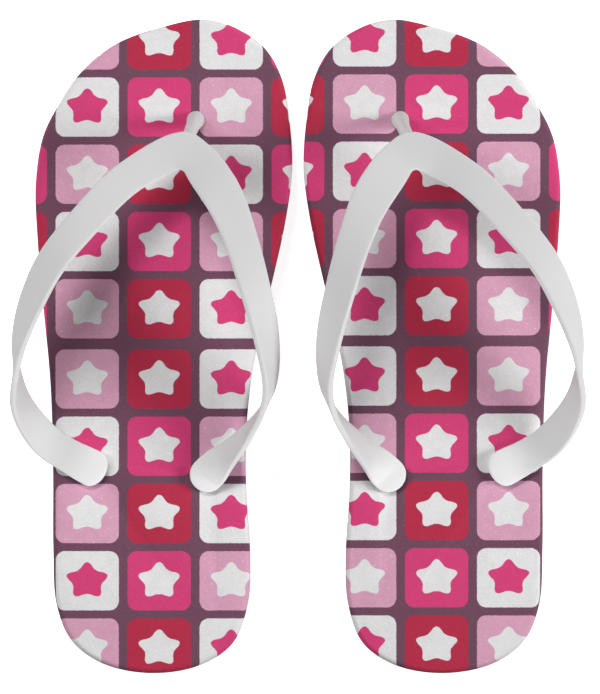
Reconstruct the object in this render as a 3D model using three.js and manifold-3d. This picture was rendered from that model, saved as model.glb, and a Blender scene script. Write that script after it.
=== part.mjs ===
import * as THREE from 'three';
import { mergeVertices } from 'three/addons/utils/BufferGeometryUtils.js';
import Module from 'manifold-3d';

const wasm = await Module();
wasm.setup();

// A pair of flip flops. Sizes are in millimetres, +Z is up, +Y points to the toes and the floor is at Z = 0.
// The left shoe stands at negative X. The right shoe is its mirror image.

// Overall sizes of one sole and of the pair.
const SOLE_LENGTH = 250;
const SOLE_WIDTH = 98.2;
const PAIR_GAP = 4.2;
const HEEL_HEIGHT = 19;
const TOE_HEIGHT = 15.5;

// Sole layers, from the floor up. The midsole fills what the other two leave.
const OUTSOLE_THICKNESS = 3.5;
const COVER_THICKNESS = 2.5;
const COVER_EDGE_RADIUS = 2;
const FIT_GAP = 0.3;
const FLEX_ALONG = 68;

// Tread: zigzag grooves across the outsole, inside a plain rim.
const GROOVE_DEPTH = 1.2;
const GROOVE_WIDTH = 2.2;
const GROOVE_PITCH = 12.5;
const GROOVE_WAVE = 15;
const GROOVE_SWING = 3.4;
const TREAD_RIM = 7;

// Strap band, its toe post and its plugs.
const BAND_WIDTH = 12.8;
const BAND_THICKNESS = 2.4;
const BAND_EDGE = 0.8;
const STRAP_RISE = 34;
const POST_RADIUS = 3.25;
const STEM_RADIUS = 3;
const BUTTON_RADIUS = 8;
const BUTTON_THICKNESS = 2.2;
const BUTTON_LIFT = 0.35;

// Outline of the left sole, anticlockwise from the tip of the toe: percent of the length from the heel,
// then percent of the width from the outer side.
const OUTLINE = [
  [100, 65], [98.8, 49], [96.2, 31], [91.9, 17.6], [87, 9], [82, 2.8], [74.8, 0], [67, 0.6],
  [56, 3], [44, 5.8], [31, 6.8], [19, 6.9], [10.5, 8.2], [5, 14], [1.5, 26], [0, 45],
  [1.2, 64], [4.6, 76.8], [10.5, 82.6], [18, 83.5], [28, 82], [37, 82], [47, 84.8], [58, 91],
  [69, 97.2], [77, 99.9], [84, 99], [91, 95.8], [95.6, 89.2], [98.8, 77.5],
];

// Where the strap meets the sole and where its two arms join, in the same percentages.
const TOE_HOLE = [84.6, 62.3];
const APEX = [80.3, 58.9];
const APEX_RISE = 58;
const LATERAL_ANCHOR = [31.3, 22.4];
const MEDIAL_ANCHOR = [30.3, 66.7];
const POST_SET_FORWARD = 2.5;

// Middle line of each arm from the apex to its anchor: percent along, percent across, percent of the
// strap's rise, and the roll of the band in degrees. At 90 the band stands on its front edge.
const LATERAL_ARM = [
  [78.6, 50, 61, 1], [75.3, 35.3, 74, 6], [68.7, 18.9, 90, 16], [62.4, 6.2, 97, 29], [56.4, -1.2, 94, 46],
  [50.9, -5.8, 82, 68], [46.2, -7.2, 63, 92], [41, -5.3, 38, 128], [35.8, 3.7, 14, 163], [33.3, 12.8, 0, 178],
];
const MEDIAL_ARM = [
  [78.8, 62.5, 61, 1], [76.6, 66.8, 72, 4], [70.9, 75.4, 89, 10], [64.3, 81.6, 98, 19], [58.1, 86, 100, 31],
  [51.8, 89.8, 91, 46], [44.8, 91.6, 68, 76], [40.8, 89.2, 48, 104], [37.2, 83.5, 27, 130], [33.2, 74, 7, 162],
];

const OUTLINE_STEPS = 84;
const ROUND_STEPS = 20;
const ARM_STEPS = 30;
const FAR = 1000;

// Finishes.
const FINISH = {
  outsole: { color: 0x6d4458, roughness: 0.85, metalness: 0 },
  midsole: { color: 0x74465c, roughness: 0.8, metalness: 0 },
  cover: { color: 0xd5427a, roughness: 0.75, metalness: 0 },
  strap: { color: 0xdadcde, roughness: 0.4, metalness: 0 },
};

// Turns a place on the left sole, in percent, into X and Y.
function place([along, across]) {
  const x = -PAIR_GAP / 2 - SOLE_WIDTH * (1 - across / 100);
  const y = SOLE_LENGTH * (along / 100 - 0.5);
  return new THREE.Vector2(x, y);
}

// Height of the footbed, a gentle wedge from heel to toe.
function footbed(y) {
  return TOE_HEIGHT + (HEEL_HEIGHT - TOE_HEIGHT) * (0.5 - y / SOLE_LENGTH);
}

// Skin over rings of points that run anticlockwise as seen from the last ring, closed at both ends.
function skin(rings) {
  const count = rings[0].length;
  const points = rings.flat();
  const first = points.push(middle(rings[0])) - 1;
  const last = points.push(middle(rings[rings.length - 1])) - 1;
  const faces = [];
  for (let k = 0; k < count; k += 1) {
    const next = (k + 1) % count;
    const top = (rings.length - 1) * count;
    faces.push(first, next, k, last, top + k, top + next);
    for (let i = 0; i < top; i += count) {
      faces.push(i + k, i + next, i + count + next);
      faces.push(i + k, i + count + next, i + count + k);
    }
  }
  const geometry = new THREE.BufferGeometry().setFromPoints(points);
  geometry.setIndex(faces);
  return geometry;
}

function middle(ring) {
  const sum = new THREE.Vector3();
  ring.forEach((point) => sum.add(point));
  return sum.divideScalar(ring.length);
}

function solid(geometry) {
  geometry.deleteAttribute('normal');
  geometry.deleteAttribute('uv');
  const merged = mergeVertices(geometry, 1e-4);
  const vertProperties = new Float32Array(merged.attributes.position.array);
  const triVerts = new Uint32Array(merged.index.array);
  return new wasm.Manifold(new wasm.Mesh({ numProp: 3, vertProperties, triVerts }));
}

function piece(name, body, finish) {
  const { vertProperties, triVerts } = body.getMesh();
  const geometry = new THREE.BufferGeometry();
  geometry.setAttribute('position', new THREE.BufferAttribute(vertProperties, 3));
  geometry.setIndex(new THREE.BufferAttribute(triVerts, 1));
  const mesh = new THREE.Mesh(geometry, new THREE.MeshStandardMaterial(finish));
  mesh.name = name;
  return mesh;
}

// Upright round bar, from one height to another.
function bar(centre, radius, low, high) {
  const geometry = new THREE.CylinderGeometry(radius, radius, high - low, ROUND_STEPS);
  geometry.rotateX(Math.PI / 2);
  geometry.translate(centre.x, centre.y, (low + high) / 2);
  return solid(geometry);
}

// Smooth sole outline, moved inwards by a distance, as a level ring or one that follows a height.
function outlineRing(inset, heightAt) {
  const corners = OUTLINE.map(place).map((spot) => new THREE.Vector3(spot.x, spot.y, 0));
  const curve = new THREE.CatmullRomCurve3(corners, true, 'centripetal');
  const ring = [];
  for (let i = 0; i < OUTLINE_STEPS; i += 1) {
    const point = curve.getPoint(i / OUTLINE_STEPS);
    const along = curve.getTangent(i / OUTLINE_STEPS);
    const x = point.x - along.y * inset;
    const y = point.y + along.x * inset;
    ring.push(new THREE.Vector3(x, y, heightAt(y)));
  }
  return ring;
}

// Upright bars through every strap hole of one sole.
function strapHoles(radius, low, high) {
  const spots = [TOE_HOLE, LATERAL_ANCHOR, MEDIAL_ANCHOR].map(place);
  const [toe, lateral, medial] = spots.map((spot) => bar(spot, radius, low, high));
  return toe.add(lateral).add(medial);
}

// One side of the flex line, as a very large box.
function sideOfFlex(sign) {
  const flex = place([FLEX_ALONG, 0]).y;
  const geometry = new THREE.BoxGeometry(FAR, FAR, FAR);
  geometry.translate(0, flex + sign * (FAR + FIT_GAP) / 2, 0);
  return solid(geometry);
}

// Both pieces of a sole layer, divided at the flex line.
function dividedLayer(side, name, layer, finish) {
  const rear = piece(`${side}_${name}_rear`, layer.intersect(sideOfFlex(-1)), finish);
  const fore = piece(`${side}_${name}_fore`, layer.intersect(sideOfFlex(1)), finish);
  return [rear, fore];
}

// Outer and inner edge of the sole on a line across it.
function edgesAt(y) {
  const ring = outlineRing(TREAD_RIM, () => 0);
  const crossings = [];
  ring.forEach((from, i) => {
    const to = ring[(i + 1) % ring.length];
    if ((from.y - y) * (to.y - y) < 0) {
      crossings.push(from.x + (to.x - from.x) * (y - from.y) / (to.y - from.y));
    }
  });
  return [Math.min(...crossings), Math.max(...crossings)];
}

// One zigzag groove across the outsole.
function groove(y) {
  const [outer, inner] = edgesAt(y);
  const turns = Math.round((inner - outer) / (GROOVE_WAVE / 2));
  const front = [];
  const back = [];
  for (let i = 0; i <= turns; i += 1) {
    const x = outer + (inner - outer) * i / turns;
    const swing = y + GROOVE_SWING * (i % 2 ? 1 : -1) / 2;
    front.unshift(new THREE.Vector2(x, swing + GROOVE_WIDTH / 2));
    back.push(new THREE.Vector2(x, swing - GROOVE_WIDTH / 2));
  }
  const shape = new THREE.Shape([...back, ...front]);
  const depth = 2 * GROOVE_DEPTH;
  const geometry = new THREE.ExtrudeGeometry(shape, { depth, bevelEnabled: false });
  geometry.translate(0, 0, -GROOVE_DEPTH);
  return solid(geometry);
}

// Rubber tread layer, with grooves and a recess for each button.
function outsole(side) {
  const recess = BUTTON_LIFT + BUTTON_THICKNESS + FIT_GAP;
  const low = outlineRing(0, () => 0);
  const high = outlineRing(0, () => OUTSOLE_THICKNESS);
  const flex = place([FLEX_ALONG, 0]).y;
  const rims = strapHoles(BUTTON_RADIUS + FIT_GAP + GROOVE_WIDTH, -FAR, FAR);
  const rows = Math.ceil(SOLE_LENGTH / GROOVE_PITCH);
  let layer = solid(skin([low, high]));
  for (let row = -rows; row <= rows; row += 1) {
    const y = flex + GROOVE_PITCH * (row + 0.5);
    if (Math.abs(y) < SOLE_LENGTH / 2 - 2 * TREAD_RIM) {
      layer = layer.subtract(groove(y).subtract(rims));
    }
  }
  layer = layer.subtract(strapHoles(BUTTON_RADIUS + FIT_GAP, -1, recess));
  layer = layer.subtract(strapHoles(STEM_RADIUS + FIT_GAP, -FAR, FAR));
  return dividedLayer(side, 'outsole', layer, FINISH.outsole);
}

// Foam layer, a wedge between the tread and the cover.
function midsole(side) {
  const low = outlineRing(0, () => OUTSOLE_THICKNESS + FIT_GAP);
  const high = outlineRing(0, (y) => footbed(y) - COVER_THICKNESS - FIT_GAP);
  const layer = solid(skin([low, high])).subtract(strapHoles(STEM_RADIUS + FIT_GAP, -FAR, FAR));
  return dividedLayer(side, 'midsole', layer, FINISH.midsole);
}

// Printed top layer with a rounded upper edge.
function cover(side) {
  const rings = [outlineRing(0, (y) => footbed(y) - COVER_THICKNESS)];
  for (let step = 0; step <= 3; step += 1) {
    const turn = step * Math.PI / 6;
    const inset = COVER_EDGE_RADIUS * (1 - Math.cos(turn));
    const drop = COVER_EDGE_RADIUS * (1 - Math.sin(turn));
    rings.push(outlineRing(inset, (y) => footbed(y) - drop));
  }
  const layer = solid(skin(rings)).subtract(strapHoles(STEM_RADIUS + FIT_GAP, -FAR, FAR));
  return dividedLayer(side, 'cover', layer, FINISH.cover);
}

// Height of the band's middle above the footbed. However it is rolled, its lower edge stays clear.
function bandRise(percent, roll) {
  const lowest = FIT_GAP + BAND_THICKNESS / 2 + BAND_WIDTH / 2 * Math.abs(Math.sin(roll));
  return Math.max(STRAP_RISE * percent / 100, lowest);
}

// Section of the band: a flat bar with bevelled edges, about a centre.
function bandSection(centre, across, through, halfWidth) {
  const halfDepth = BAND_THICKNESS / 2;
  const flat = Math.max(halfWidth - BAND_EDGE, halfWidth / 2);
  const face = halfDepth - BAND_EDGE / 2;
  const corners = [
    [halfWidth, face], [flat, halfDepth], [-flat, halfDepth], [-halfWidth, face],
    [-halfWidth, -face], [-flat, -halfDepth], [flat, -halfDepth], [halfWidth, -face],
  ];
  return corners.map(([a, b]) => centre.clone().addScaledVector(across, a).addScaledVector(through, b));
}

// Round end of the band beyond a centre, growing wider towards it.
function roundEnd(centre, outward, across, through, reversed) {
  const half = BAND_WIDTH / 2;
  const sections = [75, 55, 30].map((degrees) => {
    const turn = THREE.MathUtils.degToRad(degrees);
    const at = centre.clone().addScaledVector(outward, half * Math.sin(turn));
    return bandSection(at, across, through, half * Math.cos(turn));
  });
  return reversed ? sections.reverse() : sections;
}

// One arm of the strap, a twisted band from the apex to its anchor. The hand is 1 on the outer side.
function arm(table, anchor, hand) {
  const stations = [[...APEX, APEX_RISE, 0], ...table, [...anchor, 0, 180]];
  const spots = stations.map(([along, across, percent]) => {
    const spot = place([along, across]);
    return new THREE.Vector3(spot.x, spot.y, percent);
  });
  const path = new THREE.CatmullRomCurve3(spots, false, 'centripetal');
  const turns = new THREE.SplineCurve(stations.map((station, i) => new THREE.Vector2(i, station[3])));
  const rolls = turns.getPoints(ARM_STEPS).map((turn) => THREE.MathUtils.degToRad(Math.min(turn.y, 180)));
  const centres = path.getPoints(ARM_STEPS);
  centres.forEach((spot, i) => spot.setZ(footbed(spot.y) + bandRise(spot.z, rolls[i])));
  const up = new THREE.Vector3(0, 0, 1);
  const frames = centres.map((centre, i) => {
    const from = centres[Math.max(i - 1, 0)];
    const to = centres[Math.min(i + 1, ARM_STEPS)];
    const ahead = to.clone().sub(from).normalize();
    const level = i === 0 || i === ARM_STEPS;
    if (level) ahead.setZ(0).normalize();
    const side = up.clone().cross(ahead).normalize().multiplyScalar(hand);
    const lift = ahead.clone().cross(side).multiplyScalar(hand);
    const across = side.multiplyScalar(Math.cos(rolls[i])).addScaledVector(lift, Math.sin(rolls[i]));
    const through = ahead.clone().cross(across);
    return { centre, ahead, across, through };
  });
  const head = frames[0];
  const tail = frames[ARM_STEPS];
  const back = head.ahead.clone().negate();
  return solid(skin([
    ...roundEnd(head.centre, back, head.across, head.through, false),
    ...frames.map((frame) => bandSection(frame.centre, frame.across, frame.through, BAND_WIDTH / 2)),
    ...roundEnd(tail.centre, tail.ahead, tail.across, tail.through, true),
  ]));
}

// Strap band: both arms, joined at the apex of the V.
function strap(side) {
  const band = arm(LATERAL_ARM, LATERAL_ANCHOR, 1).add(arm(MEDIAL_ARM, MEDIAL_ANCHOR, -1));
  return [piece(`${side}_strap`, band, FINISH.strap)];
}

// Level round ring about a centre.
function circle(centre, radius, heightAt) {
  const ring = [];
  for (let i = 0; i < ROUND_STEPS; i += 1) {
    const turn = 2 * Math.PI * i / ROUND_STEPS;
    const x = centre.x + radius * Math.cos(turn);
    const y = centre.y + radius * Math.sin(turn);
    ring.push(new THREE.Vector3(x, y, heightAt(y)));
  }
  return ring;
}

// Button in its recess with a stem that rises through the sole to the footbed.
function buttonAndStem(spot) {
  const buttonTop = BUTTON_LIFT + BUTTON_THICKNESS;
  return [
    circle(spot, BUTTON_RADIUS, () => BUTTON_LIFT),
    circle(spot, BUTTON_RADIUS, () => buttonTop),
    circle(spot, STEM_RADIUS, () => buttonTop),
    circle(spot, STEM_RADIUS, footbed),
  ];
}

// Plug under the end of one arm.
function plug(side, name, anchor) {
  return [piece(`${side}_${name}`, solid(skin(buttonAndStem(place(anchor)))), FINISH.strap)];
}

// Toe post: it leans back from its hole to the underside of the V.
function toePost(side) {
  const foot = place(TOE_HOLE);
  const head = place(APEX);
  head.y += POST_SET_FORWARD;
  const under = bandRise(APEX_RISE, 0) - BAND_THICKNESS / 2 - FIT_GAP;
  const rings = buttonAndStem(foot);
  rings.push(circle(foot, POST_RADIUS, (y) => footbed(y) + FIT_GAP));
  rings.push(circle(head, POST_RADIUS, (y) => footbed(y) + under));
  return [piece(`${side}_toe_post`, solid(skin(rings)), FINISH.strap)];
}

function shoe(side) {
  const group = new THREE.Group();
  group.name = `${side}_shoe`;
  group.add(
    ...outsole(side),
    ...midsole(side),
    ...cover(side),
    ...strap(side),
    ...toePost(side),
    ...plug(side, 'lateral_plug', LATERAL_ANCHOR),
    ...plug(side, 'medial_plug', MEDIAL_ANCHOR),
  );
  return group;
}

const pair = new THREE.Group();
pair.name = 'flip_flop_pair';
const right = shoe('right');
right.scale.x = -1;
pair.add(shoe('left'), right);

export default pair;
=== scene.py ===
"""Looks for a pair of flip flops: printed foam soles and moulded thong straps.

Y points to the toes and Z is up.
"""
import math

import bmesh
import bpy
import numpy as np
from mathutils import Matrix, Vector


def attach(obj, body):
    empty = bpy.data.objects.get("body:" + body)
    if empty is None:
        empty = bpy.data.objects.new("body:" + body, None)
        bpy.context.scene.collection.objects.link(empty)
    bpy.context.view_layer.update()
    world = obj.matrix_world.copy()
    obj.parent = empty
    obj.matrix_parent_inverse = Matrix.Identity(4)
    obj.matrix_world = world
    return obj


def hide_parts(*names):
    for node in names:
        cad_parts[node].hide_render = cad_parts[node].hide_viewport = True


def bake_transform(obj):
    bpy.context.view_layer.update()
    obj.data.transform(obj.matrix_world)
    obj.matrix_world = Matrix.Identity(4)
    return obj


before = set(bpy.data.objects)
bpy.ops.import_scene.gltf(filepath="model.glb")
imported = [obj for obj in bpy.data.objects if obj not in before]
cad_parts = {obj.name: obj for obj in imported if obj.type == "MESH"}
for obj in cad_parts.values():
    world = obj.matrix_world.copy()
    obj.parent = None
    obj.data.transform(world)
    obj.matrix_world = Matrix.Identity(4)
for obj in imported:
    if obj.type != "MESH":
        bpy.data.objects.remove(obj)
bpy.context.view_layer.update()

scene = bpy.context.scene


# ---------------------------------------------------------------- Studio
# The pair lies on a white table among softboxes: one low on the right, one beyond the toes, one on
# the left and a low one by the heels for the straps alone. The camera looks straight down through
# a long lens.

CAMERA_HEIGHT = 5.176
LENS = 700
CAMERA_REACH = 50
VIEW_CENTRE = (0.0008, -0.0003)
TABLE_SIDE = 8.0
TABLE_WHITE = (0.90, 0.90, 0.90, 1)
TABLE_GLOW = 1.0
TABLE_DROP = 0.0003
ROOM_WHITE = (1, 1, 1, 1)
ROOM_LIGHT = 0.01
ROOM_SEEN = 0.95

# Degrees from straight up, degrees anticlockwise from the right, part of all the light, side in metres.
# The lamp under the table is for looking at the soles from below.
SOFTBOXES = {
    "right_softbox": (66, 356, 0.34, 0.95),
    "toe_softbox": (38, 108, 0.32, 0.66),
    "left_softbox": (46, 158, 0.29, 1.34),
    "heel_softbox": (81, 265, 0.11, 0.80),
    "under_table_lamp": (180, 0, -0.30, 1.90),
}
SOFTBOX_DISTANCE = 3.0
FULL_LIGHT = 1.09

camera = bpy.data.objects.new("overhead_camera", bpy.data.cameras.new("overhead_camera"))
camera.data.lens = LENS
camera.data.clip_end = CAMERA_REACH
camera.location = (*VIEW_CENTRE, CAMERA_HEIGHT)
scene.collection.objects.link(camera)
scene.camera = camera
scene.view_settings.view_transform = "Standard"


def new_material(name):
    """A material with its shader, for the nodes to be added to."""
    made = bpy.data.materials.new(name)
    made.use_nodes = True
    return made, made.node_tree, made.node_tree.nodes["Principled BSDF"]


table_work = bmesh.new()
bmesh.ops.create_grid(table_work, x_segments=4, y_segments=4, size=TABLE_SIDE / 2)
table_mesh = bpy.data.meshes.new("white_table")
table_work.to_mesh(table_mesh)
table_work.free()
table = bpy.data.objects.new("white_table", table_mesh)
table.location.z = -TABLE_DROP
scene.collection.objects.link(table)

table_white, table_tree, table_shader = new_material("table_white")
table_shader.inputs["Base Color"].default_value = TABLE_WHITE
table_shader.inputs["Roughness"].default_value = 1.0
table_shader.inputs["Specular IOR Level"].default_value = 0.0
table_shader.inputs["Emission Color"].default_value = TABLE_WHITE

# The table glows for the camera only, and from below it lets through both the camera and the lamp.
seen_ray = table_tree.nodes.new("ShaderNodeLightPath")
table_glow = table_tree.nodes.new("ShaderNodeMath")
table_glow.operation = "MULTIPLY"
table_glow.inputs[1].default_value = TABLE_GLOW
table_tree.links.new(seen_ray.outputs["Is Camera Ray"], table_glow.inputs[0])
table_tree.links.new(table_glow.outputs[0], table_shader.inputs["Emission Strength"])
table_sides = table_tree.nodes.new("ShaderNodeNewGeometry")
table_clear = table_tree.nodes.new("ShaderNodeBsdfTransparent")
table_mix = table_tree.nodes.new("ShaderNodeMixShader")
table_open = table_tree.nodes.new("ShaderNodeMath")
table_open.operation = "MAXIMUM"
table_tree.links.new(table_sides.outputs["Backfacing"], table_open.inputs[0])
table_tree.links.new(seen_ray.outputs["Is Shadow Ray"], table_open.inputs[1])
table_tree.links.new(table_open.outputs[0], table_mix.inputs[0])
table_tree.links.new(table_shader.outputs[0], table_mix.inputs[1])
table_tree.links.new(table_clear.outputs[0], table_mix.inputs[2])
table_tree.links.new(table_mix.outputs[0], table_tree.nodes["Material Output"].inputs["Surface"])
table_mesh.materials.append(table_white)

# The room looks white and lights the shoes only faintly, because the softboxes do that.
world = bpy.data.worlds.new("white_room")
world.use_nodes = True
room_tree = world.node_tree
room_wall = room_tree.nodes["Background"]
room_wall.inputs["Color"].default_value = ROOM_WHITE
room_ray = room_tree.nodes.new("ShaderNodeLightPath")
room_strength = room_tree.nodes.new("ShaderNodeMath")
room_strength.operation = "MULTIPLY_ADD"
room_strength.inputs[1].default_value = ROOM_SEEN
room_strength.inputs[2].default_value = ROOM_LIGHT
room_tree.links.new(room_ray.outputs["Is Camera Ray"], room_strength.inputs[0])
room_tree.links.new(room_strength.outputs[0], room_wall.inputs["Strength"])
scene.world = world

for softbox_name, (lean, bearing, part, softbox_side) in SOFTBOXES.items():
    lean = math.radians(lean)
    bearing = math.radians(bearing)
    sideways = math.sin(lean)
    toward = Vector((sideways * math.cos(bearing), sideways * math.sin(bearing), math.cos(lean)))
    lamp = bpy.data.lights.new(softbox_name, "AREA")
    lamp.size = softbox_side
    lamp.energy = part * FULL_LIGHT * (math.pi * SOFTBOX_DISTANCE) ** 2 / math.cos(lean)
    holder = bpy.data.objects.new(softbox_name, lamp)
    holder.location = toward * SOFTBOX_DISTANCE
    holder.rotation_euler = (-toward).to_track_quat("-Z", "Y").to_euler()
    scene.collection.objects.link(holder)

# Flags keep the low light by the heels off the soles, so it only catches the edges of the straps.
strap_light = bpy.data.collections.new("strap_light")
bpy.data.objects["heel_softbox"].light_linking.receiver_collection = strap_light


# ---------------------------------------------------------------- Outsole
# A sheet of hard-wearing rubber with zigzag grooves, pressed in a mould and glued under the foam.
# A round recess under each strap hole takes the button that holds the strap.

MM = 0.001
SOLE_LENGTH = 250.0
SOLE_WIDTH = 98.2
PAIR_GAP = 4.2
HEEL_HEIGHT = 19.0
TOE_HEIGHT = 15.5
FLEX_Y = 45.0
FLEX_END_Y = 85.0
FLEX_ROW = 2.5
OUTLINE_STEPS = 240
ROUND_STEPS = 40
SMOOTH_BELOW = 34

# The left sole's outline, anticlockwise from the toe tip: percent along it, then percent across it.
OUTLINE = [
    (100, 65), (98.8, 49), (96.2, 31), (91.9, 17.6), (87, 9), (82, 2.8), (74.8, 0), (67, 0.6),
    (56, 3), (44, 5.8), (31, 6.8), (19, 6.9), (10.5, 8.2), (5, 14), (1.5, 26), (0, 45),
    (1.2, 64), (4.6, 76.8), (10.5, 82.6), (18, 83.5), (28, 82), (37, 82), (47, 84.8), (58, 91),
    (69, 97.2), (77, 99.9), (84, 99), (91, 95.8), (95.6, 89.2), (98.8, 77.5),
]
TOE_HOLE = (84.6, 62.3)
OUTER_HOLE = (31.3, 22.4)
INNER_HOLE = (30.3, 66.7)

OUTSOLE_THICKNESS = 3.5
OUTSOLE_EDGE = 0.7
OUTSOLE_EDGE_STEPS = 3
OUTSOLE_TOP_EDGE = 0.25
GROOVE_DEPTH = 1.2
GROOVE_WIDTH = 2.2
GROOVE_TAPER = 0.25
GROOVE_PITCH = 12.5
GROOVE_WAVE = 15.0
GROOVE_SWING = 3.4
TREAD_RIM = 7.0
RECESS_RADIUS = 8.3
RECESS_DEPTH = 2.85
RECESS_CHAMFER = 0.5
STEM_HOLE_RADIUS = 3.3
RUBBER_COLOUR = (0.150, 0.062, 0.102, 1)

# Heights between which the tools that cut the recesses and holes reach, past the piece at each end.
TOOL_FOOT = -9
TREAD_TOOL_TOP = 9


def place(spot):
    """Turns percent along and percent across the left sole into X and Y in millimetres."""
    along, across = spot
    return np.array([-PAIR_GAP / 2 - SOLE_WIDTH * (1 - across / 100), SOLE_LENGTH * (along / 100 - 0.5)])


def footbed(y):
    """Height of the footbed, a gentle wedge from heel to toe."""
    return TOE_HEIGHT + (HEEL_HEIGHT - TOE_HEIGHT) * (0.5 - y / SOLE_LENGTH)


def smooth_curve(points, closed, count):
    """Points along a smooth curve through the given ones, with the direction of travel at each."""
    points = np.array(points, float)
    total = len(points)
    spans = total if closed else total - 1
    before = points[-1] if closed else 2 * points[0] - points[1]
    after = [points[0], points[1]] if closed else [2 * points[-1] - points[-2]]
    line = np.vstack([before, points, *after])
    spots, ways = [], []
    for i in range(count if closed else count + 1):
        at = spans * i / count
        k = min(int(at), spans - 1)
        t = at - k
        a, b, c, d = line[k:k + 4]
        legs = (b - a, c - b, d - c)
        first, mid, last = (max(float(np.dot(leg, leg)) ** 0.25, 1e-6) for leg in legs)
        leave = ((b - a) / first - (c - a) / (first + mid) + (c - b) / mid) * mid
        arrive = ((c - b) / mid - (d - b) / (mid + last) + (d - c) / last) * mid
        square = -3 * b + 3 * c - 2 * leave - arrive
        cube = 2 * b - 2 * c + leave + arrive
        spots.append(b + leave * t + square * t ** 2 + cube * t ** 3)
        ways.append(leave + 2 * square * t + 3 * cube * t ** 2)
    ways = np.array(ways)
    return np.array(spots), ways / np.linalg.norm(ways, axis=1)[:, None]


outline, outline_way = smooth_curve([place(spot) for spot in OUTLINE], True, OUTLINE_STEPS)
outline_inward = np.stack([-outline_way[:, 1], outline_way[:, 0]], 1)


def at_height(flat, height):
    """Flat points set at a height, or at one that follows Y."""
    return [(x, y, height(y) if callable(height) else height) for x, y in flat]


def sole_ring(inset, height):
    """The sole outline moved inwards and set at a height."""
    return at_height(outline + outline_inward * inset, height)


def round_ring(centre, radius, height):
    """Ring of points about a centre, set at a height."""
    turns = [2 * math.pi * i / ROUND_STEPS for i in range(ROUND_STEPS)]
    x, y = centre
    return at_height([(x + radius * math.cos(turn), y + radius * math.sin(turn)) for turn in turns], height)


def skin(rings):
    """Closed surface over rings of points, all with as many points, with a flat end at each side."""
    work = bmesh.new()
    loops = [[work.verts.new(spot) for spot in ring] for ring in rings]
    for low, high in zip(loops, loops[1:]):
        for i, near in enumerate(low):
            j = (i + 1) % len(low)
            work.faces.new((near, low[j], high[j], high[i]))
    work.faces.new(loops[0][::-1])
    work.faces.new(loops[-1])
    bmesh.ops.recalc_face_normals(work, faces=work.faces)
    return work


def turned(centre, profile):
    """Round piece about an upright axis. The profile lists radius and height."""
    return skin([round_ring(centre, radius, height) for radius, height in profile])


def joined(parts):
    """One bmesh that holds several closed ones."""
    whole = bmesh.new()
    for part in parts:
        mesh = bpy.data.meshes.new("part")
        part.to_mesh(mesh)
        part.free()
        whole.from_mesh(mesh)
        bpy.data.meshes.remove(mesh)
    return whole


def carved(body, tool):
    """The body with the tool's shape taken out of it."""
    holders = []
    for work in (body, tool):
        mesh = bpy.data.meshes.new("carving")
        work.to_mesh(mesh)
        work.free()
        holder = bpy.data.objects.new("carving", mesh)
        scene.collection.objects.link(holder)
        holders.append(holder)
    cut = holders[0].modifiers.new("cut", "BOOLEAN")
    cut.operation = "DIFFERENCE"
    cut.solver = "EXACT"
    cut.object = holders[1]
    result = bmesh.new()
    result.from_object(holders[0], bpy.context.evaluated_depsgraph_get())
    for holder in holders:
        mesh = holder.data
        bpy.data.objects.remove(holder)
        bpy.data.meshes.remove(mesh)
    return result


def add_flex_rows(work):
    """Cuts the sole across in close rows over the stretch where a sole bends."""
    for row in range(int((FLEX_END_Y - FLEX_Y) / FLEX_ROW) + 1):
        everything = list(work.verts) + list(work.edges) + list(work.faces)
        spot = (0, FLEX_Y + row * FLEX_ROW, 0)
        bmesh.ops.bisect_plane(work, geom=everything, plane_co=spot, plane_no=(0, 1, 0), dist=1e-4)


def make_pair(name, work, finish, smooth_below=SMOOTH_BELOW):
    """Makes the left piece from work in millimetres, and the right one as its mirror image."""
    rest = work.verts.layers.float_vector.get("rest")
    if rest is None:
        rest = work.verts.layers.float_vector.new("rest")
        for vert in work.verts:
            vert[rest] = vert.co * MM
    made = {}
    for side in ("left", "right"):
        half = work.copy()
        bmesh.ops.scale(half, vec=(MM if side == "left" else -MM, MM, MM), verts=half.verts)
        if side == "right":
            bmesh.ops.reverse_faces(half, faces=half.faces)
        mesh = bpy.data.meshes.new(f"{side}_{name}")
        half.to_mesh(mesh)
        half.free()
        mesh.shade_smooth()
        mesh.set_sharp_from_angle(angle=math.radians(smooth_below))
        mesh.materials.append(finish)
        made[side] = bpy.data.objects.new(mesh.name, mesh)
        scene.collection.objects.link(made[side])
    work.free()
    return made


def sole_width_at(y, inset):
    """Outer and inner edge of the outline, moved inwards, on a line across the sole."""
    ring = outline + outline_inward * inset
    following = np.roll(ring, -1, 0)
    met = (ring[:, 1] - y) * (following[:, 1] - y) < 0
    a, b = ring[met], following[met]
    crossings = a[:, 0] + (b[:, 0] - a[:, 0]) * (y - a[:, 1]) / (b[:, 1] - a[:, 1])
    return crossings.min(), crossings.max()


def zigzag_groove(y):
    """Solid in the shape of one groove, a little narrower at its bottom."""
    outer, inner = sole_width_at(y, TREAD_RIM)
    turns = round((inner - outer) / (GROOVE_WAVE / 2))
    xs = [outer + (inner - outer) * i / turns for i in range(turns + 1)]
    middles = [y + GROOVE_SWING * (1 if i % 2 else -1) / 2 for i in range(turns + 1)]
    rings = []
    for height, taper in ((-GROOVE_DEPTH, -GROOVE_TAPER), (GROOVE_DEPTH, GROOVE_TAPER)):
        half = GROOVE_WIDTH / 2 - taper
        back = [(x, middle - half, height) for x, middle in zip(xs, middles)]
        front = [(x, middle + half, height) for x, middle in zip(xs, middles)]
        rings.append(back + front[::-1])
    return skin(rings)


tread_rows = math.ceil(SOLE_LENGTH / GROOVE_PITCH)
groove_lines = [FLEX_Y + GROOVE_PITCH * (row + 0.5) for row in range(-tread_rows, tread_rows)]
grooves = joined([zigzag_groove(y) for y in groove_lines if abs(y) < SOLE_LENGTH / 2 - 2 * TREAD_RIM])
holes = [place(spot) for spot in (TOE_HOLE, OUTER_HOLE, INNER_HOLE)]

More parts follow.
